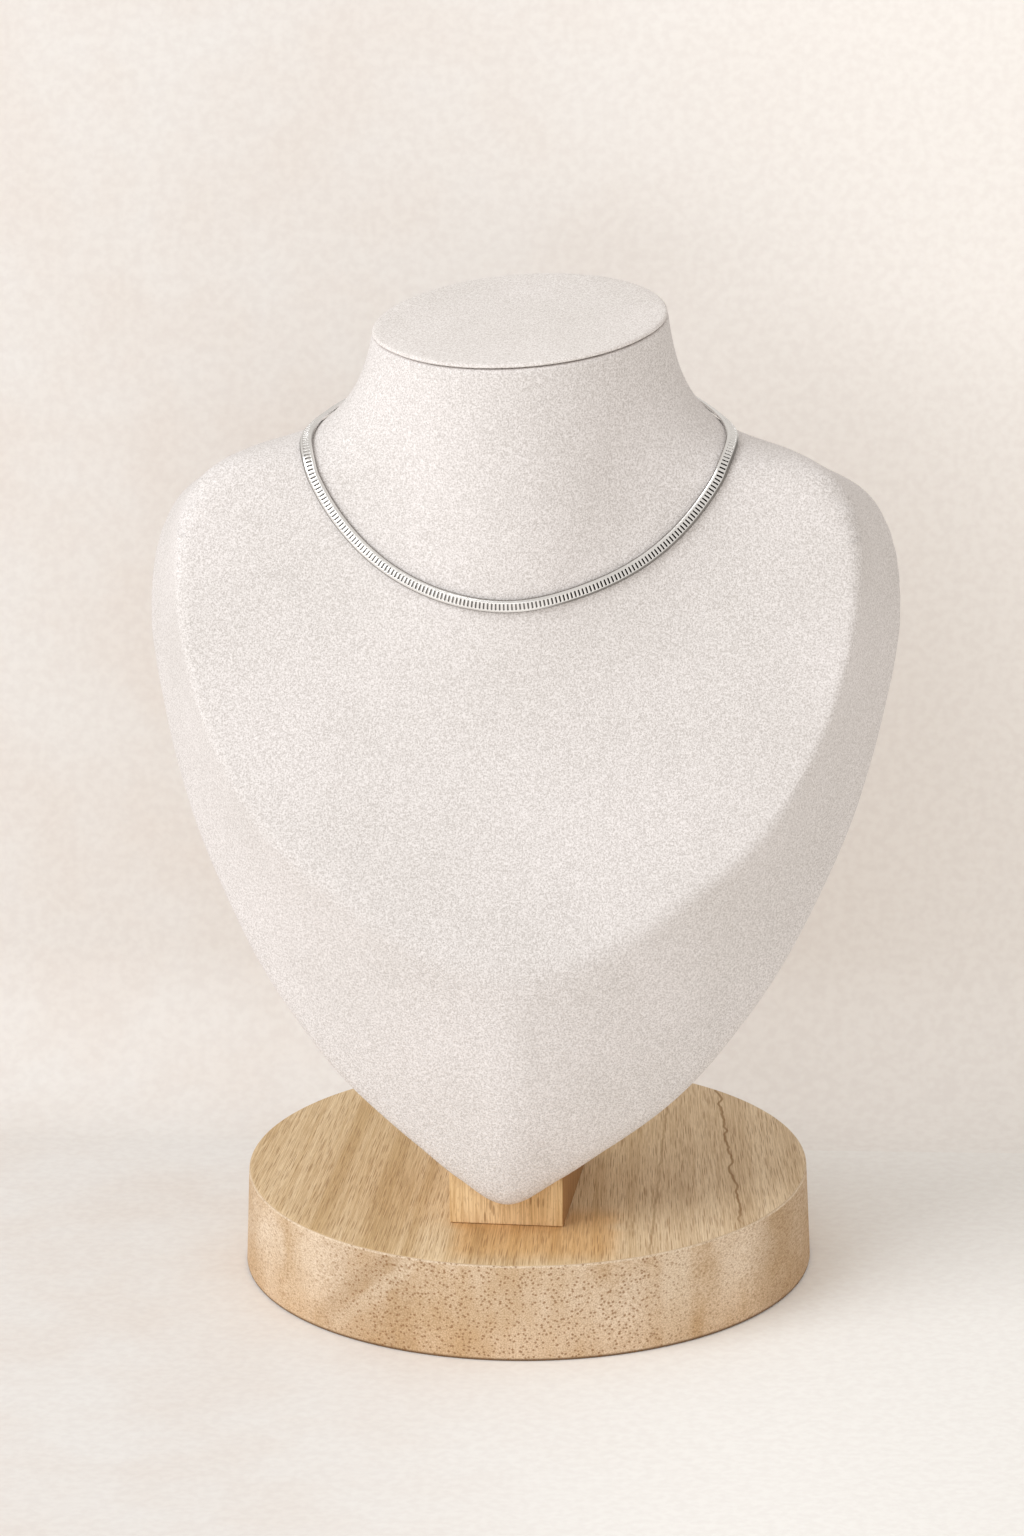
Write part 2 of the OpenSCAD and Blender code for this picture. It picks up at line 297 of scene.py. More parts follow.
@dataclass(frozen=True)
class BustForm:
    """The bust's outer form as a distance, in millimetres with heights measured up from its tip.

    An outline row holds an angle from level, the radius of the chest's edge and that of the bevel's foot.
    """

    chest_lean: float = 22.0
    back_lean: float = 24.0
    neck_rise: float = 270.0
    neck_w: float = 92.0
    neck_d: float = 88.0
    top_tilt: float = 3.8
    top_roll: float = 3.5
    tip: Triple = (0.0, -61.0, 0.0)
    edge: Triple = (0.0, -73.0, 83.7)
    outline_c: float = 188.0
    outline: tuple[Triple, ...] = (
        (-90, 117.5, 197),
        (-85, 117, 188.5),
        (-80, 116, 179),
        (-70, 112.5, 164),
        (-60, 109, 149.5),
        (-45, 108, 133),
        (-30, 106, 123.5),
        (-15, 105.5, 119),
        (0, 107, 119.5),
        (12, 109, 119),
        (20, 107, 114.5),
        (30, 98, 99.5),
        (45, 82, 82),
        (60, 75, 75),
        (90, 86, 86),
    )
    edge_round: float = 2.6
    shoulder_round: float = 34.0
    shoulder_at: Range = (18.0, 40.0)
    back_round: float = 8.0
    neck_y: float = 5.0
    flare_x: float = 0.03
    flare_y: float = 0.015
    root_front: float = 10.0
    root_side: float = 32.0
    root_back: float = 20.0
    sway: float = 2.8
    sway_to: float = 30.0

    def outline_at(self, angle: np.ndarray) -> tuple[np.ndarray, np.ndarray]:
        """Radii of the chest's edge and of the bevel's foot at angles round the outline.

        Args:
            angle: Angles from level, in degrees.

        Returns:
            The two radii, on a smooth curve through the outline's rows.
        """
        rows = np.array(self.outline, float)
        slope = np.zeros((len(rows), 2))
        slope[1:-1] = (rows[2:, 1:] - rows[:-2, 1:]) / (rows[2:, :1] - rows[:-2, :1])
        a = np.clip(angle, rows[0, 0], rows[-1, 0])
        i = np.clip(np.searchsorted(rows[:, 0], a, side="right") - 1, 0, len(rows) - 2)
        h = (rows[i + 1, 0] - rows[i, 0])[:, None]
        s = ((a - rows[i, 0]) / h[:, 0])[:, None]
        rise = s * s * (3 - 2 * s)
        value = (1 - rise) * rows[i, 1:] + rise * rows[i + 1, 1:]
        value = value + s * (1 - s) * h * ((1 - s) * slope[i] - s * slope[i + 1])
        return value[:, 0], value[:, 1]

    def distance(self, points: np.ndarray) -> np.ndarray:
        """How far points lie outside the bust, negative inside.

        Args:
            points: Points in millimetres, one row each.

        Returns:
            One distance a point.
        """
        tip = np.array(self.tip)
        edge = np.array(self.edge)
        lean = math.radians(self.chest_lean)
        back = math.radians(self.back_lean)
        out = np.array([0, -math.cos(lean), math.sin(lean)])
        up = np.array([0, math.sin(lean), math.cos(lean)])
        back_out = np.array([0, math.cos(back), -math.sin(back)])
        bevel = float((edge - tip) @ out)
        x = points[:, 0] + self.sway * (1 - ramp(points[:, 2], 0, self.sway_to))
        rise = (points - tip) @ up - self.outline_c
        depth = (edge - points) @ out
        angle = np.degrees(np.arctan2(rise, np.abs(x)))
        inner, outer = self.outline_at(angle)
        spread = outer - inner
        radius = inner + spread * np.clip(depth / bevel, 0, 1)
        side = (np.hypot(x, rise) - radius) / np.sqrt(1 + (spread / bevel) ** 2)
        over = ramp(angle, *self.shoulder_at)
        rounding = self.edge_round + (self.shoulder_round - self.edge_round) * over
        torso = soft_max(side, -depth, rounding)
        down = self.neck_rise - points[:, 2]
        half_w = self.neck_w / 2 + self.flare_x * down
        half_d = self.neck_d / 2 + self.flare_y * down
        y = points[:, 1] - self.neck_y
        neck = (np.hypot(x / half_w, y / half_d) - 1) * np.minimum(half_w, half_d)
        sideways = x * x / (x * x + y * y + 0.001)
        root = np.where(y < 0, self.root_front, self.root_back) * (1 - sideways)
        root = root + self.root_side * sideways
        body = -soft_max(-torso, -neck, root)
        return soft_max(body, (points - tip) @ back_out, self.back_round)

    def away(self, points: np.ndarray, step: float = 0.2) -> np.ndarray:
        """Directions in which the distance grows, one row a point."""
        ways = [self.distance(points + a) - self.distance(points - a) for a in np.eye(3) * step]
        return np.stack(ways, axis=1) / (2 * step)

    def seated(self, points: np.ndarray, off: float, steps: int = 6) -> np.ndarray:
        """Points moved square to the bust until they lie off from its surface.

        Args:
            points: Points in millimetres.
            off: Distance from the surface to end at.
            steps: How often the move is repeated.

        Returns:
            The moved points.
        """
        placed = points.copy()
        for _ in range(steps):
            g = self.away(placed)
            reach = (self.distance(placed) - off) / np.maximum((g * g).sum(1), 1e-6)
            placed -= reach[:, None] * g
        return placed


# Route of the chain


@dataclass(frozen=True)
class ChainRoute:
    """The closed line along which the chain lies on the bust, in millimetres up from the tip.

    Places on it are counted in control points from the front, up to half a loop a side.
    """

    form: BustForm
    gap: float = 0.35
    half: tuple[Triple, ...] = (
        (0, -40.5, 190.5),
        (15, -39, 192),
        (29.5, -34.5, 195.5),
        (42, -30, 201),
        (53, -24.5, 209.5),
        (61, -19.5, 219.5),
        (66.5, -13.5, 229.5),
        (68, -2.5, 236.5),
        (64, 11.5, 240),
        (56, 24, 242.5),
        (45.5, 34.5, 245),
        (32, 43, 247),
        (16, 48, 248.5),
        (0, 50, 249),
    )
    fine: int = 4000
    pull: float = 2.8
    pull_at: Range = (3.55, 5.4)
    sag: float = 0.75
    sag_at: Range = (-1.3, 3.0)

    @staticmethod
    def hump(s: np.ndarray, at: Range) -> np.ndarray:
        """Rises smoothly from 0 to 1 and back round a place, over a length on either side."""
        return np.cos(np.pi / 2 * np.clip((s - at[0]) / at[1], -1, 1)) ** 2

    def on_route(self, s: np.ndarray, step: float = 0.05) -> np.ndarray:
        """Points of the route: the smooth curve, drawn up on the right and sagging left of the middle.

        Args:
            s: Places on the loop.
            step: How far to either side the curve's direction is read.

        Returns:
            The points, one row each.
        """
        n = 2 * (len(self.half) - 1)
        signed = np.where(s > n / 2, s - n, s)
        ahead = self.on_spline(s + step) - self.on_spline(s - step)
        up = np.stack([-ahead[:, 2], np.zeros(len(s)), ahead[:, 0]], axis=1)
        up /= np.linalg.norm(up, axis=1)[:, None]
        lift = self.pull * self.hump(signed, self.pull_at) - self.sag * self.hump(signed, self.sag_at)
        return self.on_spline(s) + lift[:, None] * up

    def on_spline(self, s: np.ndarray) -> np.ndarray:
        """Points of the smooth closed curve near the control points.

        Args:
            s: Places on the loop.

        Returns:
            The points, one row each.
        """
        right = np.array(self.half, float)
        knots = np.vstack([right, right[-2:0:-1] * (-1, 1, 1)])
        i = np.floor(s).astype(int)
        t = (s - i)[:, None]
        a, b, c, d = [knots[(i + k) % len(knots)] for k in (-1, 0, 1, 2)]
        weight_b = 3 * t**3 - 6 * t * t + 4
        weight_c = -3 * t**3 + 3 * t * t + 3 * t + 1
        return ((1 - t) ** 3 * a + weight_b * b + weight_c * c + t**3 * d) / 6

    def table(self) -> tuple[np.ndarray, np.ndarray, np.ndarray, np.ndarray]:
        """Places and directions along the whole loop, from the nape round the right side to the nape.

        Returns:
            Lengths from the nape, middle points, directions across and directions out of the bust.
        """
        nape = len(self.half) - 1
        s = np.linspace(nape, 3 * nape, self.fine + 1)
        middle = self.form.seated(self.on_route(s), self.gap)
        ahead = np.roll(middle[:-1], -1, axis=0) - np.roll(middle[:-1], 1, axis=0)
        ahead = np.vstack([ahead, ahead[:1]])
        along = ahead / np.linalg.norm(ahead, axis=1)[:, None]
        out = self.form.away(middle)
        out -= (out * along).sum(1)[:, None] * along
        out /= np.linalg.norm(out, axis=1)[:, None]
        steps = np.linalg.norm(np.diff(middle, axis=0), axis=1)
        lengths = np.concatenate([[0], np.cumsum(steps)])
        return lengths, middle, np.cross(along, out), out


class Sweep:
    """Bends pieces that are modelled straight, along X from the nape, onto the chain's route."""

    FELT_AT = (-0.45, -0.25, 0.0, 0.25, 0.45)

    def __init__(self, route: ChainRoute, wide: float) -> None:
        """Prepares the route's table, lifted so that a band clears the bust.

        Args:
            route: The chain's route.
            wide: The band's width.
        """
        self.lengths, middle, across, out = route.table()
        self.length = float(self.lengths[-1])
        places = [middle + share * wide * across for share in self.FELT_AT]
        close = np.min([route.form.distance(place) for place in places], axis=0)
        self.columns = np.hstack([middle + (route.gap - close)[:, None] * out, across, out])

    def bend(self, piece: Piece) -> None:
        """Moves a straight piece's vertices onto the route: X along, Y across, Z out of the bust.

        The three ways form a left-handed set, so the piece's normals are then turned out again.

        Args:
            piece: The piece, in metres, with X = 0 at the nape.
        """
        flat = Bench.points(piece) / MM
        s = np.mod(flat[:, 0], self.length)
        row = np.stack([np.interp(s, self.lengths, c) for c in self.columns.T], axis=1)
        place = row[:, 0:3] + flat[:, 1:2] * row[:, 3:6] + flat[:, 2:3] * row[:, 6:9]
        place[:, 2] += TIP_Z_MM
        Bench.move(piece, place * MM)
        Bench.normals_out(piece)
        Bench.smooth(piece, 40)


# Shared node groups


WHITE = (255, 255, 255)


def srgb(colour: Colour) -> tuple[float, float, float, float]:
    """Turns a colour given as it looks on screen into linear values.

    Args:
        colour: Its parts from 0 to 255.

    Returns:
        Its linear parts and a full alpha.
    """
    parts = [c / 255 for c in colour]
    linear = [p / 12.92 if p <= 0.04045 else ((p + 0.055) / 1.055) ** 2.4 for p in parts]
    return (*linear, 1.0)


class Tree:
    """A node tree under construction, in a material, in a group or in the world."""

    def __init__(self, tree: bpy.types.NodeTree) -> None:
        """Starts on an empty tree."""
        self.tree = tree
        self.tree.nodes.clear()

    def node(self, kind: str, **settings: object) -> Node:
        """Adds a shader node and sets its own settings.

        Args:
            kind: The node's type, without the words ShaderNode before it.
            **settings: The node's settings by name.

        Returns:
            The new node.
        """
        made = self.tree.nodes.new("ShaderNode" + kind)
        for key, value in settings.items():
            setattr(made, key, value)
        return made

    def feed(self, node: Node, *values: object, **inputs: object) -> Node:
        """Sets or links a node's inputs.

        Args:
            node: The node to feed.
            *values: What goes into the first inputs: an output socket, a value, or None for nothing.
            **inputs: The same by the input's name, with a space written as an underline.

        Returns:
            The same node.
        """
        pairs = [(node.inputs[i], value) for i, value in enumerate(values)]
        pairs += [(node.inputs[key.replace("_", " ")], value) for key, value in inputs.items()]
        for socket, value in pairs:
            if isinstance(value, Socket):
                self.tree.links.new(value, socket)
            elif value is not None:
                socket.default_value = value
        return node

    def taken(self) -> Sequence[Socket]:
        """What a group is given."""
        return self.tree.nodes.new("NodeGroupInput").outputs

    def give(self, **outputs: Socket) -> bpy.types.NodeTree:
        """Feeds a group's outputs and hands back the finished group."""
        self.feed(self.tree.nodes.new("NodeGroupOutput"), **outputs)
        return self.tree

    def place(self) -> Socket:
        """The piece's Object coordinates."""
        return self.node("TexCoord").outputs["Object"]

    def split(self, vector: Socket) -> Sequence[Socket]:
        """The three parts of a vector."""
        return self.feed(self.node("SeparateXYZ"), vector).outputs

    def join(self, x: object, y: object, z: object) -> Socket:
        """A vector of three parts."""
        return self.feed(self.node("CombineXYZ"), x, y, z).outputs[0]

    def stretched(self, vector: Socket, scale: Triple) -> Socket:
        """A vector scaled on each axis."""
        return self.feed(self.node("VectorMath", operation="MULTIPLY"), vector, scale).outputs[0]

    def math(self, operation: str, a: object, b: object = 0.0) -> Socket:
        """Output of a Math node on two numbers or sockets."""
        return self.feed(self.node("Math", operation=operation), a, b).outputs[0]

    def times(self, *values: object) -> object:
        """Product of numbers or sockets."""
        return reduce(lambda a, b: self.math("MULTIPLY", a, b), values)

    def plus(self, a: object, b: object) -> Socket:
        """Sum of two numbers or sockets."""
        return self.math("ADD", a, b)

    def minus(self, a: object, b: object) -> Socket:
        """Difference of two numbers or sockets."""
        return self.math("SUBTRACT", a, b)

    def between(self, value: object, low: float, high: float) -> Socket:
        """Runs smoothly from 0 where a value is low to 1 where it is high."""
        made = self.node("MapRange", interpolation_type="SMOOTHSTEP")
        return self.feed(made, Value=value, From_Min=low, From_Max=high).outputs["Result"]

    def noise(self, vector: Socket, scale: object, detail: float, rough: float) -> Socket:
        """Noise from 0 to 1 at a scale given in cycles a metre."""
        made = self.feed(self.node("TexNoise"), Vector=vector, Scale=scale)
        return self.feed(made, Detail=detail, Roughness=rough).outputs["Fac"]

    def mix(self, share: object, a: object, b: object, blend: str = "MIX") -> Socket:
        """Colour between two linear colours or sockets, by a share or mask."""
        made = self.node("Mix", data_type="RGBA", blend_type=blend)
        return self.feed(made, share, *[None] * 5, a, b).outputs[2]

    def blend(self, mask: Socket, low: Colour, high: Colour) -> Socket:
        """Colour that runs from one screen colour to another by a mask."""
        return self.mix(mask, srgb(low), srgb(high))

    def stain(self, colour: Socket, shade: Colour, share: float, *masks: Socket) -> Socket:
        """A colour with a screen colour laid over it by a share, where all masks are 1."""
        return self.mix(self.times(share, *masks), colour, srgb(shade))

    def shaded(self, colour: Socket, mask: Socket, dark: Colour) -> Socket:
        """A colour darkened by a screen colour where a mask is 0."""
        return self.mix(1.0, colour, self.blend(mask, dark, WHITE), "MULTIPLY")

    def bump(self, height: Socket, strength: float, distance: float) -> Socket:
        """Normal of a surface raised by a height."""
        made = self.feed(self.node("Bump"), Strength=strength, Distance=distance)
        return self.feed(made, Height=height).outputs[0]

    def group(self, group: bpy.types.NodeTree, **inputs: object) -> Sequence[Socket]:
        """Outputs of a shader node group that is placed and fed here."""
        return self.feed(self.node("Group", node_tree=group), **inputs).outputs


class Kit:
    """The shader node groups that more than one finish uses, each built once.

    Scales are in cycles a metre, and pores are drawn on a vector shortened to cells of one pore each.
    """

    MOTTLE_AT = (0.3, 0.7)
    GRIT_AT = (0.34, 0.66)
    GRIT_PARTS = (0.7, 0.3)
    CLUMP_SCALE = 0.6
    BAND_STRETCH = (1.0, 0.055, 0.5)
    BAND_SCALE = 48.0
    FIBRE_STRETCH = (1.0, 0.03, 1.0)
    FIBRE_SCALE = 2200.0
    FIBRE_HEIGHT = 0.3
    PORE_WIDTH = 0.0006
    PORE_SCALE = 760.0
    PORE_AT = (0.37, 0.2)
    DASH_SCALE = 2400.0
    DASH_AT = (0.56, 0.68)
    DASH_SHARE = 0.4

    def __init__(self) -> None:
        """Builds the groups."""
        self.mottle = self.build_mottle()
        self.grit = self.build_grit()
        self.grain = self.build_grain()

    @staticmethod
    def start(name: str, inputs: dict[str, float], outputs: Sequence[str]) -> Tree:
        """Makes a group with a Vector input, number inputs and number outputs.

        Args:
            name: The group's name.
            inputs: First value of each number input by its name.
            outputs: Name of each output.

        Returns:
            The group's tree.
        """
        group = bpy.data.node_groups.new(name, "ShaderNodeTree")
        sockets = group.interface
        sockets.new_socket(name="Vector", in_out="INPUT", socket_type="NodeSocketVector")
        for label, value in inputs.items():
            made = sockets.new_socket(name=label, in_out="INPUT", socket_type="NodeSocketFloat")
            made.default_value = value
        for label in outputs:
            sockets.new_socket(name=label, in_out="OUTPUT", socket_type="NodeSocketFloat")
        return Tree(group)

    def build_mottle(self) -> bpy.types.NodeTree:
        """Slow, soft unevenness: a mask round 0.5 that varies over Size metres.

        Returns:
            The group.
        """
        tree = self.start("Soft mottling", {"Size": 0.05}, ["Mask"])
        taken = tree.taken()
        broad = tree.noise(taken["Vector"], tree.math("DIVIDE", 1.0, taken["Size"]), 3.0, 0.55)
        return tree.give(Mask=tree.between(broad, *self.MOTTLE_AT))

    def build_grit(self) -> bpy.types.NodeTree:
        """Fine speckle of two sizes, for cut nap, silver and the pale stage: a mask and a height.

        Returns:
            The group.
        """
        tree = self.start("Nap speckle", {"Size": 0.001}, ["Mask", "Height"])
        taken = tree.taken()
        scale = tree.math("DIVIDE", 1.0, taken["Size"])
        fine = tree.noise(taken["Vector"], scale, 1.5, 0.6)
        clump = tree.noise(taken["Vector"], tree.times(scale, self.CLUMP_SCALE), 1.0, 0.5)
        both = tree.plus(tree.times(fine, self.GRIT_PARTS[0]), tree.times(clump, self.GRIT_PARTS[1]))
        return tree.give(Mask=tree.between(both, *self.GRIT_AT), Height=both)

    def build_grain(self) -> bpy.types.NodeTree:
        """Wood whose grain runs along Y: bands of colour, fine fibres, pores and a height.

        Returns:
            The group.
        """
        inputs = {"Pore length": 0.003, "Pore share": 0.5}
        tree = self.start("Wood grain", inputs, ["Bands", "Fibres", "Pores", "Height"])
        taken = tree.taken()
        vector = taken["Vector"]
        bands = tree.noise(tree.stretched(vector, self.BAND_STRETCH), self.BAND_SCALE, 3.0, 0.6)
        fibres = tree.noise(tree.stretched(vector, self.FIBRE_STRETCH), self.FIBRE_SCALE, 2.0, 0.6)
        x, y, z = tree.split(vector)
        shrink = tree.math("DIVIDE", self.PORE_WIDTH, taken["Pore length"])
        short = tree.join(x, tree.times(y, shrink), z)
        drawn = tree.node("TexVoronoi", feature="F1")
        cells = tree.feed(drawn, Vector=short, Scale=self.PORE_SCALE).outputs
        chance = tree.feed(tree.node("SeparateColor"), cells["Color"]).outputs[0]
        kept = tree.math("LESS_THAN", chance, taken["Pore share"])
        dot = tree.times(tree.between(cells["Distance"], *self.PORE_AT), kept)
        dash = tree.between(tree.noise(short, self.DASH_SCALE, 1.0, 0.5), *self.DASH_AT)
        pores = tree.math("MAXIMUM", dot, tree.times(dash, self.DASH_SHARE))
        height = tree.minus(tree.times(fibres, self.FIBRE_HEIGHT), pores)
        return tree.give(Bands=bands, Fibres=fibres, Pores=pores, Height=height)


# Finishes


class Paint(Tree):
    """A material's tree, with one Principled shader and an output."""

    def __init__(self, name: str) -> None:
        """Makes the material.

        Args:
            name: The material's name.
        """
        self.material = bpy.data.materials.new(name)
        self.material.use_nodes = True
        super().__init__(self.material.node_tree)
        self.shader = self.node("BsdfPrincipled")
        self.out = self.feed(self.node("OutputMaterial"), self.shader.outputs[0])

    def coat(self, **inputs: object) -> None:
        """Feeds the shader."""
        self.feed(self.shader, **inputs)


@dataclass(frozen=True)
class Finish:
    """What every finish has: the shared groups, a name and one Principled shader."""

    kit: Kit
    name: str

    def material(self) -> Material:
        """Makes the material and lays the finish on it.

        Returns:
            The material.
        """
        paint = Paint(self.name)
        self.lay(paint)
        return paint.material

    def lay(self, tree: Paint) -> None:
        """Feeds the shader, in each finish's own way."""
        raise NotImplementedError


@dataclass(frozen=True)
class Velvet(Finish):
    """Short-napped warm grey velvet."""

    name: str = "Velvet nap"
    light: Colour = (250, 245, 244)
    dark: Colour = (209, 203, 200)
    brushed: Colour = (248, 248, 247)
    brushed_size: float = 0.05
    nap: float = 0.00045
    relief: float = 0.00034
    rough: Range = (-9.0, 3.0)

    def lay(self, tree: Paint) -> None:
        """Feeds the shader: speckled nap, brushed a little darker in places.

        Args:
            tree: The material's tree.
        """
        place = tree.place()
        grit = tree.group(self.kit.grit, Vector=place, Size=self.nap)
        slow = tree.group(self.kit.mottle, Vector=place, Size=self.brushed_size)
        colour = tree.shaded(tree.blend(grit["Mask"], self.dark, self.light), slow["Mask"], self.brushed)
        tree.coat(Base_Color=colour, Roughness=tree.between(grit["Mask"], *self.rough))
        tree.coat(Normal=tree.bump(grit["Height"], 1.0, self.relief), Specular_IOR_Level=0.15)
        tree.coat(Sheen_Weight=0.08, Sheen_Roughness=0.5, Sheen_Tint=(1.0, 0.98, 0.96, 1.0))


@dataclass(frozen=True)
class Spot:
    """Where a finish is being laid: its tree and the piece's own coordinates."""

    tree: Tree
    x: Socket
    y: Socket
    z: Socket


@dataclass(frozen=True)
class Wood(Finish):
    """Light open-pored wood with a matt finish, as on the post: grain upright, with painted shade on the
    right face.
    """

    name: str = "Upright wood"
    pale: Colour = (255, 227, 183)
    deep: Colour = (233, 196, 141)
    pore: Colour = (142, 100, 60)
    fibre: Colour = (224, 216, 206)
    # painted shade: a darker brown laid on the post's right face, as if in shadow
    shade_on_right_face: Colour = (178, 136, 90)
    pore_length: float = 0.003
    pore_share: float = 0.5
    pore_depth: float = 0.55
    bands_at: Range = (0.3, 0.7)
    fibres_at: Range = (0.35, 0.65)
    rough: Range = (-1.2, 1.3)
    relief: float = 0.00012
    turn: float = 0.0699
    right_face_shade_at: Range = (0.0181, 0.0186)

    def grain_place(self, at: Spot) -> Socket:
        """Coordinates in which the grain runs along Y."""
        return at.tree.join(at.x, at.z, at.y)

    def ground(self, at: Spot, bands: Socket) -> Socket:
        """The wood's colour, with painted shade on the post's right face, before fibres and pores."""
        # painted shade: the right face of the post is coloured darker
        face = at.tree.between(at.tree.minus(at.x, at.tree.times(at.y, self.turn)), *self.right_face_shade_at)
        return at.tree.stain(at.tree.blend(bands, self.deep, self.pale), self.shade_on_right_face, 1.0, face)

    def depth(self, at: Spot) -> object:
        """How strongly the pores darken the wood."""
        return self.pore_depth

    def lay(self, tree: Paint) -> None:
        """Feeds the shader: bands of colour, fibres, pores and a little relief.

        Args:
            tree: The material's tree.
        """
        at = Spot(tree, *tree.split(tree.place()))
        grain = tree.group(
            self.kit.grain,
            Vector=self.grain_place(at),
            Pore_length=self.pore_length,
            Pore_share=self.pore_share,
        )
        colour = self.ground(at, tree.between(grain["Bands"], *self.bands_at))
        colour = tree.shaded(colour, tree.between(grain["Fibres"], *self.fibres_at), self.fibre)
        colour = tree.mix(tree.times(grain["Pores"], self.depth(at)), colour, srgb(self.pore))
        tree.coat(Base_Color=colour, Roughness=tree.between(grain["Bands"], *self.rough))
        tree.coat(Normal=tree.bump(grain["Height"], 0.5, self.relief), Specular_IOR_Level=0.3)


@dataclass(frozen=True)
class Rise:
    """A mask that runs from 0 at one length to 1 at another."""

    low: float
    high: float

    def mask(self, tree: Tree, value: Socket) -> Socket:
        """The mask for a length."""
        return tree.between(value, self.low, self.high)


@dataclass(frozen=True)
class Band(Rise):
    """A mask that is 1 between two lengths and fades over soft on either side of each."""

    soft: float

    def mask(self, tree: Tree, value: Socket) -> Socket:
        """The mask for a length."""
        rise = tree.between(value, self.low - self.soft, self.low + self.soft)
        return tree.times(rise, tree.between(value, self.high + self.soft, self.high - self.soft))


@dataclass(frozen=True)
class Streak:
    """A mask that is 1 on a thin line at a length, up to half beside it, and fades over soft."""

    at: float
    half: float
    soft: float

    def mask(self, tree: Tree, value: Socket) -> Socket:
        """The mask for a length."""
        beside = tree.math("ABSOLUTE", tree.minus(value, self.at))
        return tree.between(beside, self.half + self.soft, self.half)


@dataclass(frozen=True)
class Mark:
    """A mark on the base's wood, some marks grain and some painted light and shade: its colour, how
    strongly it is laid on, and a mask for each measure.
    """

    shade: Colour
    share: float
    where: dict[str, Rise | Streak]

    def over(self, tree: Tree, colour: Socket, lengths: dict[str, Socket]) -> Socket:
        """A colour with the mark laid over it, where all its masks are 1."""
        masks = [zone.mask(tree, lengths[name]) for name, zone in self.where.items()]
        return tree.stain(colour, self.shade, self.share, *masks)


CREAM = (246, 228, 204)
WARM = (226, 176, 112)
DARK = (154, 117, 68)
SHADOW = (112, 82, 52)


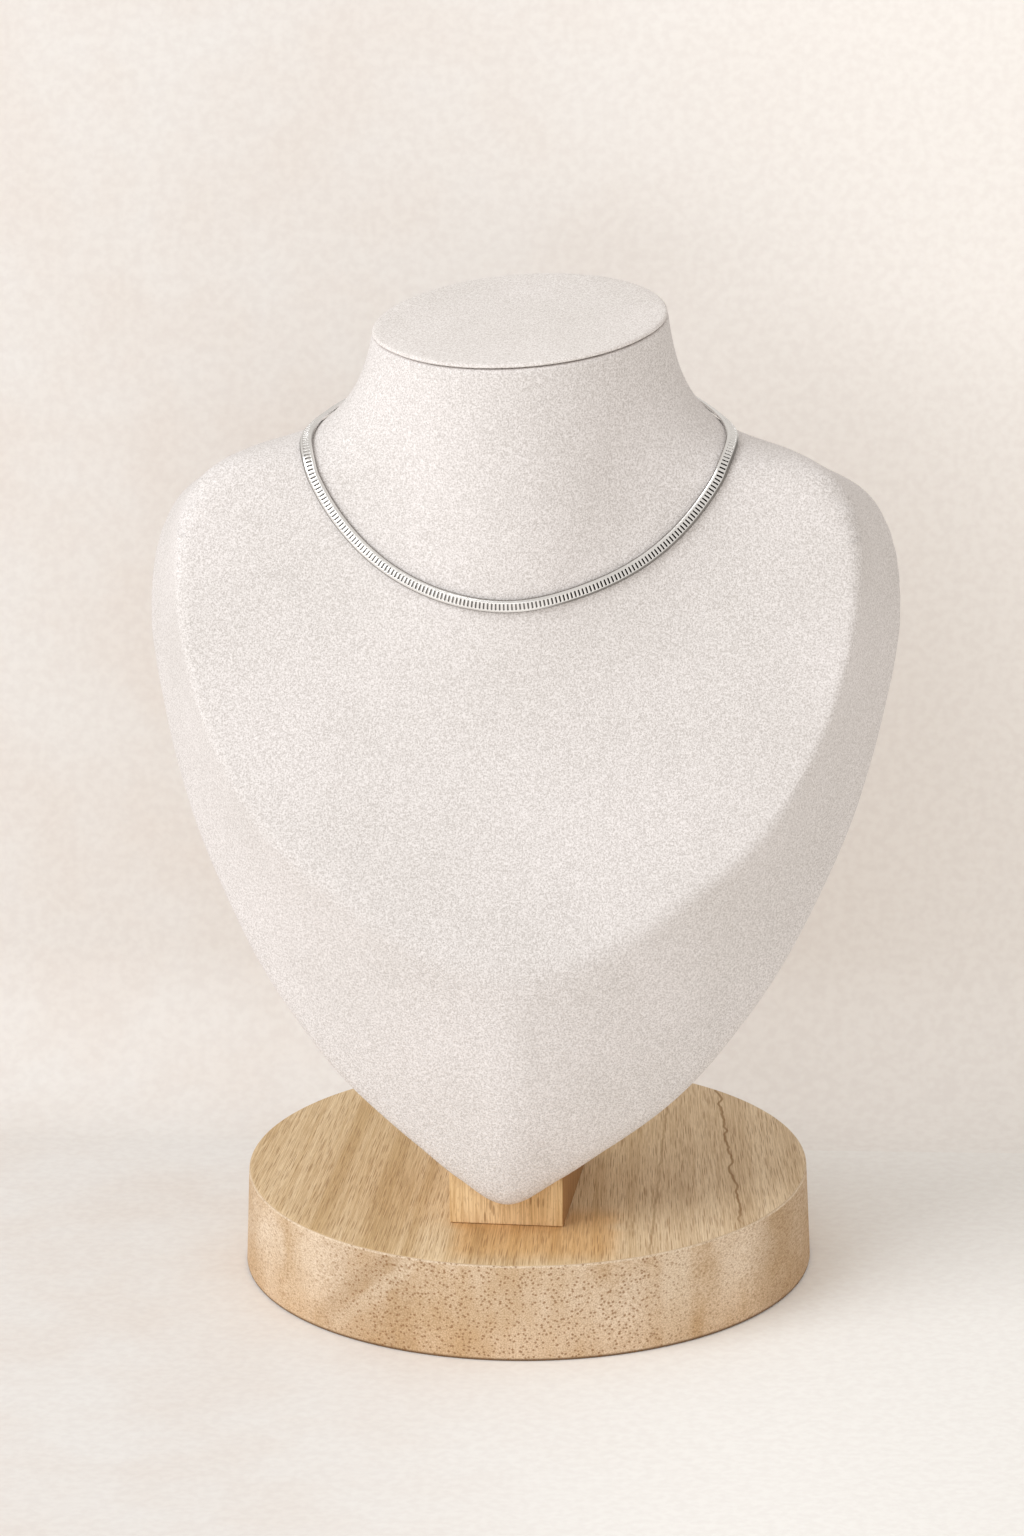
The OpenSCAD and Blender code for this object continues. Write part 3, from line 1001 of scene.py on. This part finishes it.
@dataclass(frozen=True)
class BaseWood(Wood):
    """The round base's wood: grain from front to back, paler end grain round its side, a few marks, and
    painted light and shade: a lighter top to the right, a darker right end of the side, a dark line at
    the foot and a highlight along the top's edge.

    A wave holds cycles a metre and the width over which a line wanders.
    """

    name: str = "Light wood"
    pale: Colour = (241, 217, 180)
    deep: Colour = (213, 182, 136)
    side_pale: Colour = (244, 224, 200)
    side_deep: Colour = (214, 184, 147)
    pore_length: float = 0.0065
    pore_share: float = 1.1
    pore_depth: float = 0.72
    end_depth: float = 0.34
    top_depth: float = 0.5
    top_finer: float = 1.3
    fan: float = 1.2
    radius: float = 0.0915
    dotted: Band = Band(-0.06, 0.052, 0.014)
    top: Rise = Rise(0.0316, 0.0319)
    # painted highlight: a cream line along the top's rounded edge
    rim: Mark = Mark(CREAM, 0.7, {"z": Band(0.0311, 0.0317, 0.0002)})
    crack_lean: float = 0.1
    ray_from: float = 0.066
    ray_lean: float = 1.12
    edge_wave: Range = (60.0, 0.012)
    crack_wave: Range = (70.0, 0.0065)
    hair_wave: Range = (90.0, 0.003)
    ray_wave: Range = (200.0, 0.003)
    top_marks: tuple[Mark, ...] = (
        # painted light: the top is lightened towards the right, against the bust's shadow there
        Mark(CREAM, 0.35, {"x": Rise(0.02, 0.055)}),
        Mark(WARM, 0.62, {"edge": Band(-0.019, 0.032, 0.004), "y": Band(-0.083, -0.043, 0.008)}),
        Mark(DARK, 0.35, {"edge": Streak(-0.012, 0.0008, 0.0022), "y": Band(-0.085, 0.06, 0.02)}),
        Mark(DARK, 0.75, {"crack": Streak(0.066, 0.00022, 0.0004), "y": Band(-0.05, 0.09, 0.01)}),
        Mark(DARK, 0.4, {"hair": Streak(0.043, 0.00015, 0.0005)}),
    )
    side_marks: tuple[Mark, ...] = (
        Mark(CREAM, 0.55, {"arc": Band(0.05, 0.06, 0.002)}),
        Mark(CREAM, 0.6, {"ray": Streak(0.0, 0.0016, 0.0042), "arc": Band(-0.064, -0.032, 0.003)}),
        Mark(DARK, 0.2, {"ray": Streak(-0.0085, 0.002, 0.005), "arc": Band(-0.07, -0.035, 0.004)}),
        Mark(WARM, 0.22, {"z": Rise(0.022, 0.0)}),
        Mark(DARK, 0.22, {"arc": Band(-0.07, -0.03, 0.012)}),
        # painted shade: the side darkens towards its right end, where the light falls off
        Mark(DARK, 0.32, {"arc": Rise(0.08, 0.104)}),
        # painted shadow: a dark line at the foot of the side, where it meets the floor
        Mark(SHADOW, 0.85, {"z": Rise(0.0013, 0.0005)}),
    )

    def grain_place(self, at: Spot) -> Socket:
        """Coordinates in which the grain runs along Y, finer on the top and fanning towards the back.

        Args:
            at: Where the finish is laid.

        Returns:
            The coordinates.
        """
        tree = at.tree
        spread = tree.plus(1.0, tree.times(at.y, self.fan))
        finer = tree.plus(tree.times(self.top.mask(tree, at.z), self.top_finer), 1.0)
        return tree.join(tree.times(at.x, spread, finer), at.y, at.z)

    def depth(self, at: Spot) -> Socket:
        """How strongly the pores darken the wood: less on the top and at the side's left and right.

        Args:
            at: Where the finish is laid.

        Returns:
            The share of the pores' colour.
        """
        tree = at.tree
        middle = self.dotted.mask(tree, self.arc(at))
        side = tree.plus(tree.times(middle, self.pore_depth - self.end_depth), self.end_depth)
        change = tree.times(self.top.mask(tree, at.z), tree.minus(self.top_depth, side))
        return tree.plus(side, change)

    def arc(self, at: Spot) -> Socket:
        """Length along the side from its front, positive to the right."""
        angle = at.tree.math("ARCTAN2", at.x, at.tree.times(at.y, -1.0))
        return at.tree.times(angle, self.radius)

    def wandering(self, tree: Tree, value: Socket, along: Socket, wave: Range) -> Socket:
        """A length that wanders along the grain, for lines that aren't straight."""
        wander = tree.minus(tree.noise(tree.join(0.0, along, 0.0), wave[0], 2.0, 0.5), 0.5)
        return tree.plus(value, tree.times(wander, wave[1]))

    def measures(self, at: Spot) -> dict[str, Socket]:
        """The lengths by which marks are placed.

        Args:
            at: Where the finish is laid.

        Returns:
            Each length by the name that the marks call it.
        """
        tree = at.tree
        arc = self.arc(at)
        lean = tree.plus(at.x, tree.times(at.y, self.crack_lean))
        slant = tree.minus(tree.plus(arc, self.ray_from), tree.times(at.z, self.ray_lean))
        return {
            "x": at.x,
            "y": at.y,
            "z": at.z,
            "arc": arc,
            "edge": self.wandering(tree, at.x, at.y, self.edge_wave),
            "crack": self.wandering(tree, lean, at.y, self.crack_wave),
            "hair": self.wandering(tree, at.x, at.y, self.hair_wave),
            "ray": self.wandering(tree, slant, at.z, self.ray_wave),
        }

    def ground(self, at: Spot, bands: Socket) -> Socket:
        """The base's colour: top and side with their marks, some of them painted light and shade, and a
        painted highlight along the top's edge.

        Args:
            at: Where the finish is laid.
            bands: Mask of the wood's paler bands.

        Returns:
            The colour.
        """
        tree = at.tree
        lengths = self.measures(at)
        top = tree.blend(bands, self.deep, self.pale)
        side = tree.blend(bands, self.side_deep, self.side_pale)
        for mark in self.top_marks:
            top = mark.over(tree, top, lengths)
        for mark in self.side_marks:
            side = mark.over(tree, side, lengths)
        return self.rim.over(tree, tree.mix(self.top.mask(tree, at.z), side, top), lengths)


@dataclass(frozen=True)
class Silver(Finish):
    """Polished silver with painted shade on its rails' outer edges in front and on its lower rail to the
    right; made dark, it is the inner ribbon's painted shade.
    """

    name: str = "Polished silver"
    bright: Colour = (252, 251, 250)
    dull: Colour = (243, 242, 241)
    edge_shade: Colour = (104, 99, 94)
    right: Colour = WHITE
    rough_low: float = 0.16
    rough_high: float = 0.28
    fine_size: float = 0.0006
    slow_size: float = 0.012
    relief: float = 0.00002
    right_shade_x: Range = (0.002, 0.018)
    edge_shade_front_y: Range = (0.002, -0.008)
    upper: Range = (-0.84, -0.97)
    lower: Range = (0.74, 0.9)
    lower_right_shade: Range = (0.5, 0.68)
    edge_shade_share: float = 0.85

    def lay(self, tree: Paint) -> None:
        """Feeds the shader: soft clouding, and painted shade on the rails' outer edges in front and on
        the lower rail to the right.

        Args:
            tree: The material's tree.
        """
        place = tree.place()
        x, y, _ = tree.split(place)
        fine = tree.group(self.kit.grit, Vector=place, Size=self.fine_size)
        slow = tree.group(self.kit.mottle, Vector=place, Size=self.slow_size)
        # painted shade: towards the right the colour is multiplied by the right colour, which darkens the
        # inner ribbon
        right = tree.between(x, *self.right_shade_x)
        colour = tree.blend(slow["Mask"], self.dull, self.bright)
        colour = tree.mix(right, colour, srgb(self.right), "MULTIPLY")
        across = tree.node("Attribute", attribute_name=RAIL).outputs["Fac"]
        # painted shade: the rails' outer edges in front, and the lower rail to the right, are darkened
        rails = tree.math("MAXIMUM", tree.between(across, *self.upper), tree.between(across, *self.lower))
        shade = tree.times(right, tree.between(across, *self.lower_right_shade))
        edges = tree.times(tree.math("MAXIMUM", rails, shade), tree.between(y, *self.edge_shade_front_y))
        colour = tree.stain(colour, self.edge_shade, self.edge_shade_share, edges)
        rough = tree.plus(tree.times(fine["Mask"], self.rough_high - self.rough_low), self.rough_low)
        tree.coat(Base_Color=colour, Metallic=1.0, Roughness=rough)
        tree.coat(Normal=tree.bump(fine["Height"], 0.25, self.relief))


@dataclass(frozen=True)
class PaleStage(Finish):
    """Plain pale floor or backdrop with faint warm mottling, and painted light that makes it lighter
    towards the right, against the bust's shadow.
    """

    one_sided: bool = False
    pale: Colour = (239, 236, 233)
    warm: Colour = (236, 230, 225)
    painted_light: Colour = (254, 250, 246)
    speck: Colour = (250, 249, 249)
    painted_light_at: Range = (-0.12, 0.14)
    slow_size: float = 0.05
    fine_size: float = 0.003
    relief: float = 0.0002

    def lay(self, tree: Paint) -> None:
        """Feeds the shader; a one-sided sheet is clear where it is seen from behind.

        Args:
            tree: The material's tree.
        """
        place = tree.place()
        slow = tree.group(self.kit.mottle, Vector=place, Size=self.slow_size)
        fine = tree.group(self.kit.grit, Vector=place, Size=self.fine_size)
        # painted light: lighter towards the right, where the bust's shadow falls
        right = tree.between(tree.split(place)["X"], *self.painted_light_at)
        colour = tree.stain(tree.blend(slow["Mask"], self.warm, self.pale), self.painted_light, 1.0, right)
        colour = tree.shaded(colour, fine["Mask"], self.speck)
        tree.coat(Base_Color=colour, Roughness=0.9, Specular_IOR_Level=0.1)
        tree.coat(Normal=tree.bump(fine["Height"], 0.3, self.relief))
        if self.one_sided:
            behind = tree.node("NewGeometry").outputs["Backfacing"]
            clear = tree.node("BsdfTransparent").outputs[0]
            either = tree.feed(tree.node("MixShader"), behind, tree.shader.outputs[0], clear)
            tree.feed(tree.out, either.outputs[0])


# Pieces of the object


@dataclass
class Bust:
    """The velvet-covered bust and the covered disc on its neck."""

    form: BustForm
    finish: Material
    # painted light: the disc's finish is a lighter copy of the bust's velvet
    lit_disc_finish: Material
    rim_round: float = 0.75
    rim_steps: int = 4
    levels: int = 2
    seat_steps: int = 8
    rim_reach: float = 0.4

    def build(self) -> None:
        """Builds and dresses both pieces."""
        finish_piece(self.cover(), Slot.VELVET, self.finish, "bust_form")
        finish_piece(self.disc(), Slot.VELVET, self.lit_disc_finish, "neck_cap")

    def top_frame(self) -> tuple[np.ndarray, np.ndarray]:
        """Middle of the neck's top and the direction square to it.

        Returns:
            The point, in metres, and the direction.
        """
        pitch = math.tan(math.radians(self.form.top_tilt))
        roll = math.tan(math.radians(self.form.top_roll))
        square = np.array([-roll, -pitch, 1.0])
        middle = np.array([0.0, self.form.neck_y, self.form.neck_rise + TIP_Z_MM]) * MM
        return middle, square / np.linalg.norm(square)

    def refined(self, piece: Piece) -> None:
        """Subdivides a piece smoothly."""
        Bench.apply(piece, "SUBSURF", levels=self.levels, render_levels=self.levels)

    def cover(self) -> Piece:
        """The bust's velvet: the CAD form refined, settled on the true form, with a rounded rim.

        Returns:
            The cover.
        """
        piece = Bench.copy_of("bust_form", "bust_cover")
        middle, up = self.top_frame()
        centre = Vector(middle)
        square = Vector(up)
        with Bench.editing(piece, "FACE", lambda p: abs((p - centre).dot(square)) < 1.2 * MM):
            bpy.ops.mesh.delete(type="FACE")
        self.refined(piece)
        self.settle(piece, middle, up)
        self.close_rim(piece, centre, square)
        Bench.normals_out(piece)
        bpy.ops.object.shade_smooth()
        return piece

    def settle(self, piece: Piece, middle: np.ndarray, up: np.ndarray) -> None:
        """Moves the refined vertices onto the true form, and the open rim onto the neck's top plane.

        Args:
            piece: The open cover.
            middle: Middle of the neck's top, in metres.
            up: Direction square to it.
        """
        places = Bench.points(piece) / MM
        places[:, 2] -= TIP_Z_MM
        places = self.form.seated(places, 0.0, self.seat_steps)
        places[:, 2] += TIP_Z_MM
        high = (places - middle / MM) @ up
        rim = high > -self.rim_reach
        places[rim] -= high[rim, None] * up
        Bench.move(piece, places * MM)

    def close_rim(self, piece: Piece, centre: Vector, square: Vector) -> None:
        """Rounds the neck's top edge inwards and closes it with a flat top under the disc.

        Args:
            piece: The open cover.
            centre: Middle of the neck's top, in metres.
            square: Direction square to it.
        """
        radius = self.form.neck_w / 2
        turns = [math.pi / 2 * step / self.rim_steps for step in range(self.rim_steps + 1)]
        insets = [self.rim_round * (1 - math.cos(turn)) for turn in turns]
        heights = [self.rim_round * math.sin(turn) for turn in turns]
        with Bench.editing(piece, "VERT", lambda p: abs((p - centre).dot(square)) < 0.02 * MM):
            bpy.ops.transform.translate(value=-self.rim_round * MM * square)
            for step in range(self.rim_steps):
                share = (radius - insets[step + 1]) / (radius - insets[step])
                lift = (heights[step + 1] - heights[step]) * MM * square
                bpy.ops.mesh.extrude_region_move(TRANSFORM_OT_translate={"value": lift})
                bpy.ops.transform.resize(value=(share, share, share), center_override=centre)
            bpy.ops.mesh.extrude_region_move()
            bpy.ops.transform.resize(value=(0.9, 0.9, 0.9), center_override=centre)
            bpy.ops.mesh.extrude_region_move()
            bpy.ops.mesh.merge(type="CENTER")

    def disc(self) -> Piece:
        """The covered disc: the CAD disc with its edge softened by subdivision.

        Returns:
            The disc.
        """
        piece = Bench.copy_of("neck_cap", "neck_disc")
        self.refined(piece)
        Bench.normals_out(piece)
        Bench.smooth(piece, 50)
        return piece


@dataclass
class Chain:
    """The close-linked silver band, its inner ribbon, coloured dark as painted shade in the slots, and
    its box clasp.

    A section row holds a share of the half width and of the thickness.
    """

    sweep: Sweep
    finish: Material
    # painted shade: the inner ribbon's dark finish stands for the shade in the slots
    inner: Material
    wide: float = 4.2
    thick: float = 1.4
    pitch: float = 1.25
    slot_half: float = 0.25
    slot_reach: float = 1.05
    slot_round: float = 0.06
    back_narrow: float = 0.9
    rows: tuple[float, ...] = (0.5, 0.93, 1.05, 1.38, 1.72, 1.93)
    section: tuple[Range, ...] = (
        (0.0, 1.0),
        (0.26, 0.99),
        (0.5, 0.96),
        (0.66, 0.89),
        (0.82, 0.8),
        (0.92, 0.64),
        (1.0, 0.4),
    )
    ribbon_w: float = 3.2
    ribbon_t: float = 0.6
    ribbon_z: float = 0.42
    ribbon_cuts: int = 300
    clasp_l: float = 14.0
    clasp_w: float = 4.8
    clasp_t: float = 2.6
    clasp_gap: float = 0.1
    clasp_round: float = 0.25
    clasp_cuts: int = 9
    panel_frame: float = 0.7
    panel_deep: float = 0.15

    def build(self) -> None:
        """Builds and dresses the chain, its inner ribbon and the clasp."""
        finish_piece(self.links(), Slot.SILVER, self.finish, "chain_band")
        finish_piece(self.ribbon(), Slot.SILVER, self.inner)
        finish_piece(self.clasp(), Slot.SILVER, self.finish, "clasp")

    def height_at(self, across: float) -> float:
        """Height of the band's domed face at a place across it."""
        share = min(abs(across) / (self.wide / 2), 1.0)
        return float(np.interp(share, *zip(*self.section))) * self.thick

    def near_row(self, row: float) -> Test:
        """Test for the top vertices that lie at a place across the band."""
        return lambda p: abs(abs(p.y) - row * MM) < 0.02 * MM and p.z > 0.5 * MM

    def is_top(self, p: Vector) -> bool:
        """Whether a point lies on the band's domed face."""
        return p.z > (self.height_at(p.y / MM) - 0.06) * MM

    def link(self, length: float) -> Piece:
        """One link: a domed cross plate, waisted so that two neighbours leave a slot between them.

        Args:
            length: The link's length along the chain.

        Returns:
            The link, open where its two rails run on into its neighbours.
        """
        piece = Bench.block("chain_links", (length, self.wide, 1.0), (0, 0, 0.5))
        for row in self.rows:
            for place in (-row, row):
                Bench.cut(piece, (0, place, 0), (0, 1, 0))
        for row in sorted({abs(round(v.co.y / MM, 2)) for v in piece.data.vertices}):
            with Bench.editing(piece, "VERT", self.near_row(row)):
                bpy.ops.transform.translate(value=(0, 0, (self.height_at(row) - 1.0) * MM))
        with Bench.editing(piece, "VERT", lambda p: p.z < 0.01 * MM and abs(p.y) > 2 * MM):
            bpy.ops.transform.resize(value=(1, self.back_narrow, 1), center_override=(0, 0, 0))
        end = 0.49 * length * MM
        reach = self.slot_reach * MM
        with Bench.editing(piece, "FACE", lambda p: abs(p.x) > end and abs(p.y) > reach):
            bpy.ops.mesh.delete(type="ONLY_FACE")
        waist = 1 - 2 * self.slot_half / length
        inside = (self.slot_reach - 0.05) * MM
        with Bench.editing(piece, "VERT", lambda p: abs(p.y) < inside):
            bpy.ops.transform.resize(value=(waist, 1, 1), center_override=(0, 0, 0))
        side = 0.3 * MM
        with Bench.editing(
            piece, "EDGE", lambda p: abs(p.x) > side and abs(p.y) < inside and self.is_top(p)
        ):
            bpy.ops.mesh.bevel(offset=self.slot_round * MM, segments=2, affect="EDGES")
        return piece

    def links(self) -> Piece:
        """All the links, copied in a row, joined at their rails and bent onto the route.

        Returns:
            The band, with each point's place across it kept as an attribute.
        """
        free = self.sweep.length - self.clasp_l - 2 * self.clasp_gap
        count = round(free / self.pitch)
        step = free / count
        piece = self.link(step)
        Bench.apply(
            piece,
            "ARRAY",
            count=count,
            use_relative_offset=False,
            use_constant_offset=True,
            constant_offset_displace=(step * MM, 0, 0),
            use_merge_vertices=True,
            merge_threshold=0.01 * MM,
        )
        with Bench.editing(piece):
            bpy.ops.mesh.fill_holes(sides=0)
        places = Bench.points(piece)
        across = piece.data.attributes.new(RAIL, "FLOAT", "POINT")
        across.data.foreach_set("value", places[:, 1] / (self.wide / 2 * MM))
        places[:, 0] += (self.clasp_l / 2 + self.clasp_gap + step / 2) * MM
        Bench.move(piece, places)
        self.sweep.bend(piece)
        LOG.info("%d links at %.3f mm, loop %.1f mm", count, step, self.sweep.length)
        return piece

    def ribbon(self) -> Piece:
        """The ribbon inside the links, coloured dark as painted shade where it shows through their slots.

        Returns:
            The ribbon.
        """
        middle = self.sweep.length / 2
        half = middle - self.clasp_l / 2 - self.clasp_gap
        size = (2 * half, self.ribbon_w, self.ribbon_t)
        piece = Bench.block("chain_slot_shade_ribbon", size, (middle, 0, self.ribbon_z))
        with Bench.editing(piece, "EDGE", lambda p: abs(abs(p.x - middle * MM) - half * MM) > MM):
            bpy.ops.mesh.subdivide(number_cuts=self.ribbon_cuts)
        self.sweep.bend(piece)
        return piece

    def clasp(self) -> Piece:
        """The plain box clasp at the nape, with softened edges and a shallow panel on its face.

        Returns:
            The clasp.
        """
        size = (self.clasp_l, self.clasp_w, self.clasp_t)
        piece = Bench.block("box_clasp", size, (0, 0, self.clasp_t / 2))
        for place in np.linspace(-0.44, 0.44, self.clasp_cuts) * self.clasp_l:
            Bench.cut(piece, (place, 0, 0), (1, 0, 0))
        reach = 0.4 * self.clasp_l * MM
        face = 0.99 * self.clasp_t * MM
        with Bench.editing(piece, "FACE", lambda p: p.z > face and abs(p.x) < reach):
            bpy.ops.mesh.inset(thickness=self.panel_frame * MM, use_boundary=True)
            bpy.ops.mesh.inset(thickness=self.panel_deep * MM, depth=-self.panel_deep * MM)
        eased = {"width": self.clasp_round * MM, "segments": 3, "limit_method": "ANGLE"}
        Bench.apply(piece, "BEVEL", angle_limit=math.radians(50), **eased)
        self.sweep.bend(piece)
        return piece


@dataclass
class Stand:
    """The round wooden base and the post that carries the bust."""

    form: BustForm
    base_finish: Material
    post_finish: Material
    base_r: float = 91.5
    base_top_r: float = 90.25
    base_h: float = 32.0
    base_edge: float = 0.8
    base_insets: Triple = (4.0, 20.0, 30.0)
    post_w: float = 36.5
    post_front: float = 56.0
    post_back: float = 8.0
    post_left: float = 3.5
    post_turn: float = 4.0
    post_z: Range = (32.1, 125.0)
    post_edge: float = 0.5
    rest_gap: float = 0.3

    def build(self) -> None:
        """Builds and dresses the base and the post."""
        finish_piece(self.base(), Slot.WOOD, self.base_finish, "base")
        finish_piece(self.post(), Slot.WOOD, self.post_finish, "post")

    def base(self) -> Piece:
        """The turned round base, with both edges rounded over.

        Returns:
            The base.
        """
        Bench.clear()
        height = self.base_h * MM
        bpy.ops.mesh.primitive_cone_add(
            vertices=256,
            radius1=self.base_r * MM,
            radius2=self.base_top_r * MM,
            depth=height,
            location=(0, 0, height / 2),
            end_fill_type="NGON",
        )
        piece = Bench.added("round_base")
        rim = (self.base_top_r - 1) * MM
        with Bench.editing(piece, "EDGE", lambda p: self.is_end(p) and math.hypot(p.x, p.y) > rim):
            bpy.ops.mesh.bevel(offset=self.base_edge * MM, segments=4, affect="EDGES")
        with Bench.editing(piece, "FACE", lambda p: self.is_end(p) and math.hypot(p.x, p.y) < MM):
            for inset in self.base_insets:
                bpy.ops.mesh.inset(thickness=inset * MM)
        Bench.smooth(piece, 35)
        return piece

    def is_end(self, p: Vector) -> bool:
        """Whether a point lies at the height of the base's top or underside."""
        return min(abs(p.z), abs(p.z - self.base_h * MM)) < 0.01 * MM

    def post(self) -> Piece:
        """The post: a block cut off at the lean of the bust's back, with eased corners.

        Returns:
            The post.
        """
        low, high = self.post_z
        deep = self.post_front + self.post_back
        turn = math.radians(-self.post_turn)
        front = np.array([-self.post_left, -self.post_front, (low + high) / 2])
        middle = front + np.array([-math.sin(turn), math.cos(turn), 0.0]) * deep / 2
        piece = Bench.block("bust_post", (self.post_w, deep, high - low), middle, turn)
        lean = math.radians(self.form.back_lean)
        face = (0, self.form.tip[1] + self.rest_gap / math.cos(lean), TIP_Z_MM)
        Bench.cut(piece, face, (0, -math.cos(lean), math.sin(lean)), use_fill=True, clear_outer=True)
        Bench.apply(piece, "BEVEL", width=self.post_edge * MM, segments=3, limit_method="ANGLE")
        Bench.normals_out(piece)
        Bench.smooth(piece, 40)
        return piece


# Studio: floor, light and camera


@dataclass(frozen=True)
class Lamp:
    """An oblong soft light: where it hangs, its width and height, its watts and its colour."""

    name: str
    place: Triple
    size: Range
    power: float
    tint: Colour


@dataclass
class Studio:
    """Pale stage, soft light and the camera of the photograph. Lengths in metres."""

    floor_finish: Material
    wall_finish: Material
    floor_side: float = 14.0
    wall_y: float = 0.15
    wall_w: float = 0.9
    wall_h: float = 0.9
    wall_lift: float = 0.0001
    cove: float = 0.052
    distance: float = 2.616
    elevation: float = 18.4
    azimuth: float = 3.5
    roll: float = 0.5
    target: Triple = (0.0, 0.0, 0.1674)
    focal_px: float = 8200.0
    frame_px: Range = (1024, 1536)
    centre_px: Range = (524.34, 765.37)
    sensor: float = 36.0
    lamps: tuple[Lamp, ...] = (
        Lamp("key", (-1.2, -0.84, 1.25), (1.26, 1.26), 17.4, (0.94, 0.972, 1.0)),
        Lamp("front", (-0.5, -2.7, 0.35), (2.0, 0.9), 5.8, (0.95, 0.98, 1.0)),
    )
    air: tuple[float, float, float, float] = (1.0, 0.955, 0.9, 1.0)
    air_strength: float = 0.7

    def build(self) -> None:
        """Builds the stage, the lights and the camera."""
        self.floor()
        self.wall()
        for lamp in self.lamps:
            self.softbox(lamp)
        self.surroundings()
        self.camera()

    def floor(self) -> None:
        """A wide floor."""
        Bench.clear()
        bpy.ops.mesh.primitive_plane_add(size=1, location=(0, 0, 0))
        floor = Bench.added("pale_floor", (self.floor_side, self.floor_side, 1.0))
        with Bench.editing(floor):
            bpy.ops.mesh.subdivide(number_cuts=6)
        floor.data.materials.append(self.floor_finish)

    def wall(self) -> None:
        """A backdrop that rises close behind the base in a cove and shows from the front only."""
        Bench.clear()
        far = self.wall_y
        near = far - self.cove - 0.002
        bpy.ops.mesh.primitive_plane_add(size=1, location=(0, (near + far) / 2, self.wall_lift))
        wall = Bench.added("pale_backdrop", (self.wall_w, far - near, 1.0))
        with Bench.editing(wall, "EDGE", lambda p: p.y > far - MM):
            bpy.ops.mesh.extrude_region_move(TRANSFORM_OT_translate={"value": (0, 0, self.wall_h)})
        with Bench.editing(wall, "EDGE", lambda p: p.y > far - MM and p.z < 10 * MM):
            bpy.ops.mesh.bevel(offset=self.cove, segments=24, affect="EDGES")
        bpy.ops.object.shade_smooth()
        wall.data.materials.append(self.wall_finish)
        wall.visible_diffuse = False
        wall.visible_glossy = False
        wall.visible_shadow = False

    def softbox(self, lamp: Lamp) -> None:
        """Adds a soft light aimed at the bust.

        Args:
            lamp: The light's place, size, power and colour.
        """
        light = bpy.data.lights.new(lamp.name, "AREA")
        light.shape = "RECTANGLE"
        light.size, light.size_y = lamp.size
        light.energy = lamp.power
        light.color = lamp.tint
        holder = bpy.data.objects.new(lamp.name, light)
        holder.location = lamp.place
        aim = Vector(self.target) - Vector(lamp.place)
        holder.rotation_euler = aim.to_track_quat("-Z", "Y").to_euler()
        holder.visible_camera = False
        bpy.context.scene.collection.objects.link(holder)

    def surroundings(self) -> None:
        """Pale air all round, and colours shown as they are."""
        world = bpy.data.worlds.new("Studio air")
        bpy.context.scene.world = world
        world.use_nodes = True
        tree = Tree(world.node_tree)
        air = tree.feed(tree.node("Background"), self.air, self.air_strength)
        tree.feed(tree.node("OutputWorld"), air.outputs[0])
        bpy.context.scene.view_settings.view_transform = "Standard"

    def camera(self) -> None:
        """Places the camera as the photograph was taken."""
        el = math.radians(self.elevation)
        az = math.radians(self.azimuth)
        back = Vector((math.sin(az) * math.cos(el), -math.cos(az) * math.cos(el), math.sin(el)))
        lens = bpy.data.cameras.new("Camera")
        lens.sensor_width = self.sensor
        long_side = max(self.frame_px)
        lens.lens = self.focal_px / long_side * self.sensor
        lens.shift_x = (self.frame_px[0] / 2 - self.centre_px[0]) / long_side
        lens.shift_y = (self.centre_px[1] - self.frame_px[1] / 2) / long_side
        lens.clip_end = 30.0
        holder = bpy.data.objects.new("Camera", lens)
        holder.location = Vector(self.target) + self.distance * back
        look = (-back).to_track_quat("-Z", "Y").to_matrix()
        turn = math.radians(self.roll)
        right = look.col[0] * math.cos(turn) - look.col[1] * math.sin(turn)
        above = look.col[0] * math.sin(turn) + look.col[1] * math.cos(turn)
        look.col[0] = right
        look.col[1] = above
        holder.rotation_euler = look.to_euler()
        bpy.context.scene.collection.objects.link(holder)
        bpy.context.scene.camera = holder


def main() -> None:
    """Builds the chain, the bust, the stand and the studio, in that order."""
    logging.basicConfig(level=logging.INFO, format="%(name)s: %(message)s")
    kit = Kit()
    form = BustForm()
    # painted shade: the inner ribbon's silver is made dark, and darker to the right, to stand for shade
    # in the slots
    slot_shade_silver = Silver(
        kit,
        "Slot shade silver",
        bright=(150, 147, 144),
        dull=(128, 126, 124),
        right=(66, 64, 62),
        rough_low=0.4,
        rough_high=0.6,
    )
    # painted light: the disc's velvet is a lighter copy of the bust's, for more light on its top
    lit_disc_velvet = Velvet(kit, "Lit disc velvet", light=(255, 250, 248), dark=(219, 212, 208))
    # painted light: the floor is lightened towards the right, against the base's shadow
    floor = PaleStage(kit, "Pale floor", painted_light=(255, 253, 250), painted_light_at=(-0.12, 0.1))
    wall = PaleStage(kit, "Pale backdrop", one_sided=True)
    sweep = Sweep(ChainRoute(form), Chain.wide)
    Chain(sweep, Silver(kit).material(), slot_shade_silver.material()).build()
    Bust(form, Velvet(kit).material(), lit_disc_velvet.material()).build()
    Stand(form, BaseWood(kit).material(), Wood(kit).material()).build()
    Studio(floor.material(), wall.material()).build()


if __name__ == "__main__":
    main()
